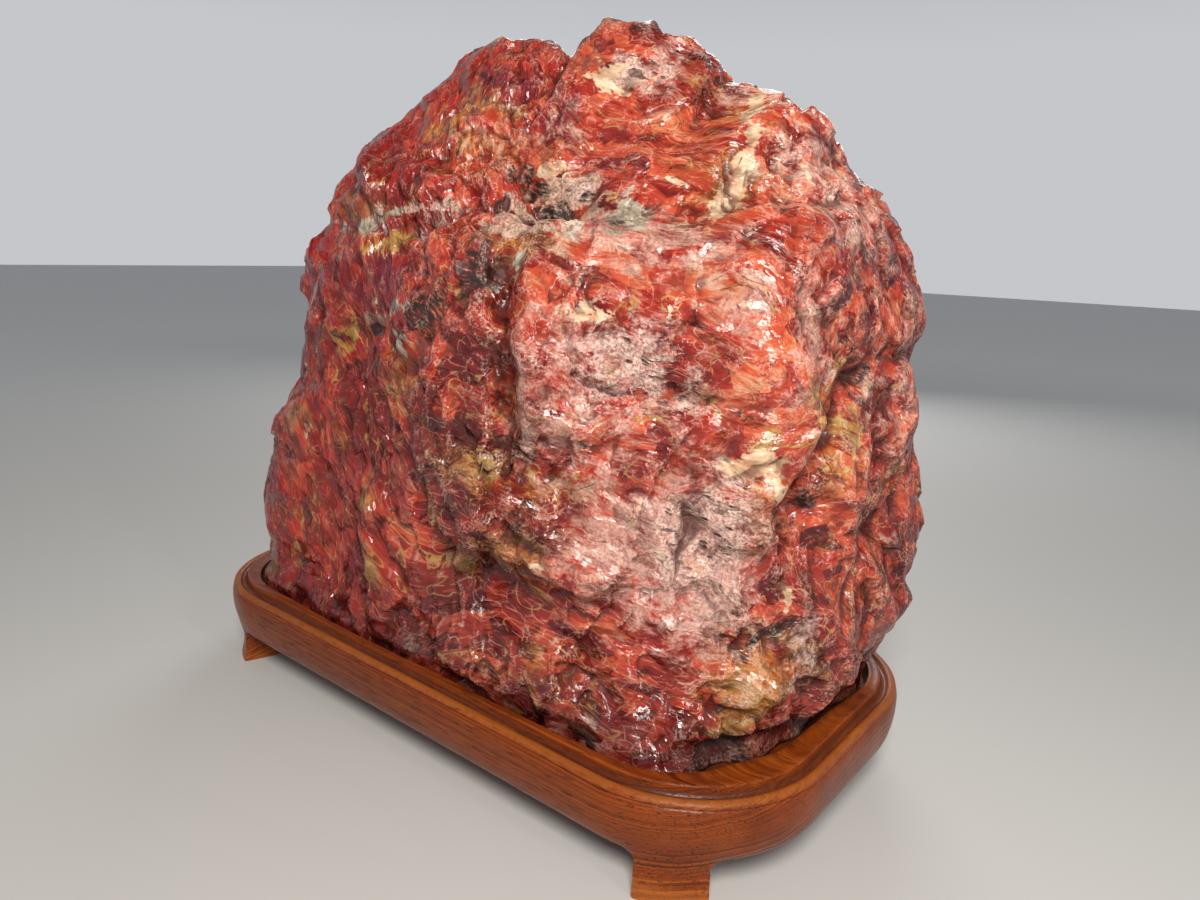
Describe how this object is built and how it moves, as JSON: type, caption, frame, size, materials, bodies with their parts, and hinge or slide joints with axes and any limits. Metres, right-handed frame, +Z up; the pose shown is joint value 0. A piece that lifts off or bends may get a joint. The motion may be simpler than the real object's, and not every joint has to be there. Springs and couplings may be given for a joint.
{
  "type": "jasper viewing stone on a carved wooden stand",
  "caption": "Large rough block of red jasper that stands in a seat cut into a low carved wooden tray with rounded corners and short feet.",
  "frame": {"origin": "on the surface that the feet stand on, under the middle of the tray", "axes": "+X along the tray's length, towards the higher end of the stone, -Y towards its long front side, +Z up"},
  "size_m": [0.402, 0.21, 0.3667],
  "materials": {
    "jasper": "waxy broken rock, glossy red and crimson with pale veins and dull dusty patches",
    "wood": "satin oiled hardwood, red-brown with fine dark grain, worn pale on the bead and the toes"
  },
  "bodies": {
    "root": {"jasper_stone": "jasper", "wooden_stand": "wood"}
  },
  "joints": []
}
